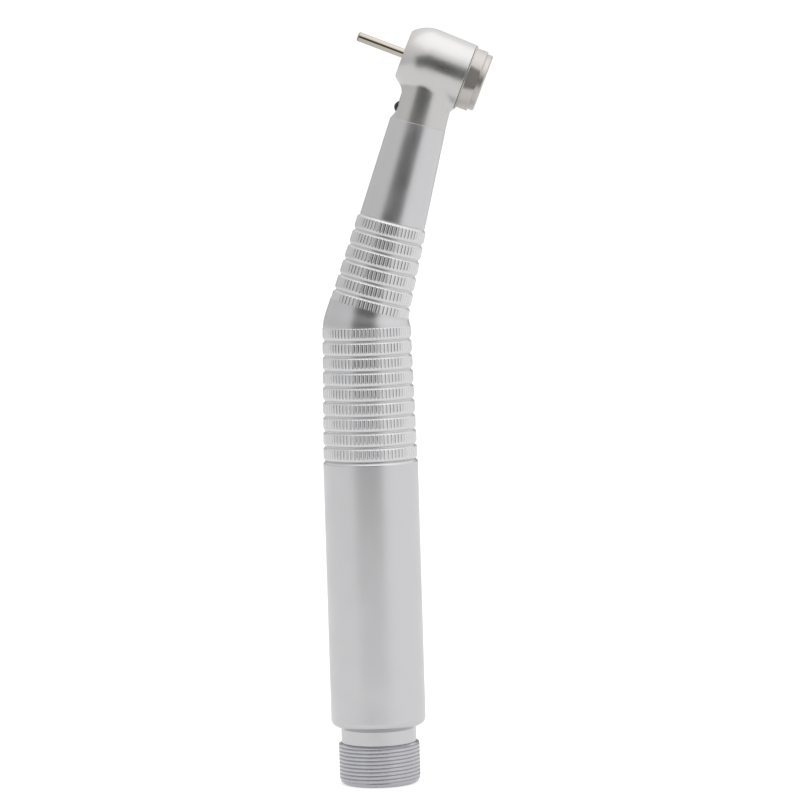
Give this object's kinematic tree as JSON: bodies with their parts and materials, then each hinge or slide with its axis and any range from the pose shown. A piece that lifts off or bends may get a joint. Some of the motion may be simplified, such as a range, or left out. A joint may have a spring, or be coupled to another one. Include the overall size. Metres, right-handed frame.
{
  "type": "high speed dental handpiece",
  "caption": "Slim bent metal air turbine handpiece with ringed grips, a push-button head holding a plain bur, and a threaded hose connector at the rear.",
  "frame": {"origin": "middle of the rear rim of the hose connector", "axes": "+Z along the barrel towards the head; the neck leans to +X in the XZ plane; the bur points to -X"},
  "size_m": [0.0305, 0.016, 0.1271],
  "materials": {
    "satin_chrome": "satin",
    "head_steel": "satin",
    "cap_steel": "polished",
    "nickel": "polished",
    "bur_steel": "polished",
    "nozzle_dark": "satin",
    "tube_steel": "satin",
    "gasket_rubber": "matte",
    "seal_rubber": "satin",
    "bearing_steel": "polished",
    "rotor_steel": "satin",
    "impeller_alloy": "satin",
    "cage_resin": "matte",
    "spring_wire": "satin"
  },
  "bodies": {
    "handpiece": {"handle_shell": "satin_chrome", "head_housing": "head_steel", "connector_body": "nickel", "connector_gasket": "gasket_rubber", "connector_o_ring": "seal_rubber", "drive_air_nipple": "tube_steel", "chip_air_nipple": "tube_steel", "exhaust_nipple": "tube_steel", "water_nipple": "tube_steel", "drive_air_tube": "tube_steel", "chip_air_tube": "tube_steel", "water_tube": "tube_steel", "neck_o_ring": "seal_rubber", "spray_nozzle": "nozzle_dark", "back_cap": "cap_steel", "front_o_ring": "seal_rubber", "rear_o_ring": "seal_rubber", "front_outer_ring": "bearing_steel", "rear_outer_ring": "bearing_steel", "front_bearing_shield": "bearing_steel", "rear_bearing_shield": "bearing_steel", "preload_washer": "bearing_steel", "button_spring": "spring_wire"},
    "button": {"push_button": "cap_steel", "button_retainer": "bearing_steel"},
    "rotor": {"spindle": "rotor_steel", "impeller": "impeller_alloy", "front_inner_ring": "bearing_steel", "rear_inner_ring": "bearing_steel", "spindle_plug": "rotor_steel", "chuck_spring": "spring_wire"},
    "chuck": {"chuck_collet": "rotor_steel", "chuck_plunger": "rotor_steel"},
    "bur": {"bur": "bur_steel"},
    "front_cage": {"front_cage": "cage_resin", "front_balls": "bearing_steel"},
    "rear_cage": {"rear_cage": "cage_resin", "rear_balls": "bearing_steel"}
  },
  "joints": [
    {"name": "rotor_spin", "type": "hinge", "parent": "handpiece", "child": "rotor", "pos_m": [0.01251, 0, 0.12089], "axis": [0.9245, 0, -0.3811], "continuous": true},
    {"name": "front_cage_spin", "type": "hinge", "parent": "handpiece", "child": "front_cage", "pos_m": [0.01251, 0, 0.12089], "axis": [0.9245, 0, -0.3811], "continuous": true},
    {"name": "rear_cage_spin", "type": "hinge", "parent": "handpiece", "child": "rear_cage", "pos_m": [0.01251, 0, 0.12089], "axis": [0.9245, 0, -0.3811], "continuous": true},
    {"name": "button_press", "type": "slide", "parent": "handpiece", "child": "button", "axis": [-0.9245, 0, 0.3811], "range_m": [0, 0.0006], "stiffness_N_per_m": 6000, "springref_m": -0.0005, "deforming": ["button_spring"]},
    {"name": "chuck_release", "type": "slide", "parent": "rotor", "child": "chuck", "axis": [-0.9245, 0, 0.3811], "range_m": [0, 0.0003], "deforming": ["chuck_spring"]},
    {"name": "bur_draw", "type": "slide", "parent": "rotor", "child": "bur", "axis": [-0.9245, 0, 0.3811], "range_m": [0, 0.0088]}
  ],
  "couplings": [
    {"joint": "front_cage_spin", "follows": "rotor_spin", "ratio": 0.39501},
    {"joint": "rear_cage_spin", "follows": "rotor_spin", "ratio": 0.39501},
    {"joint": "chuck_release", "follows": "button_press", "ratio": 0.5}
  ]
}
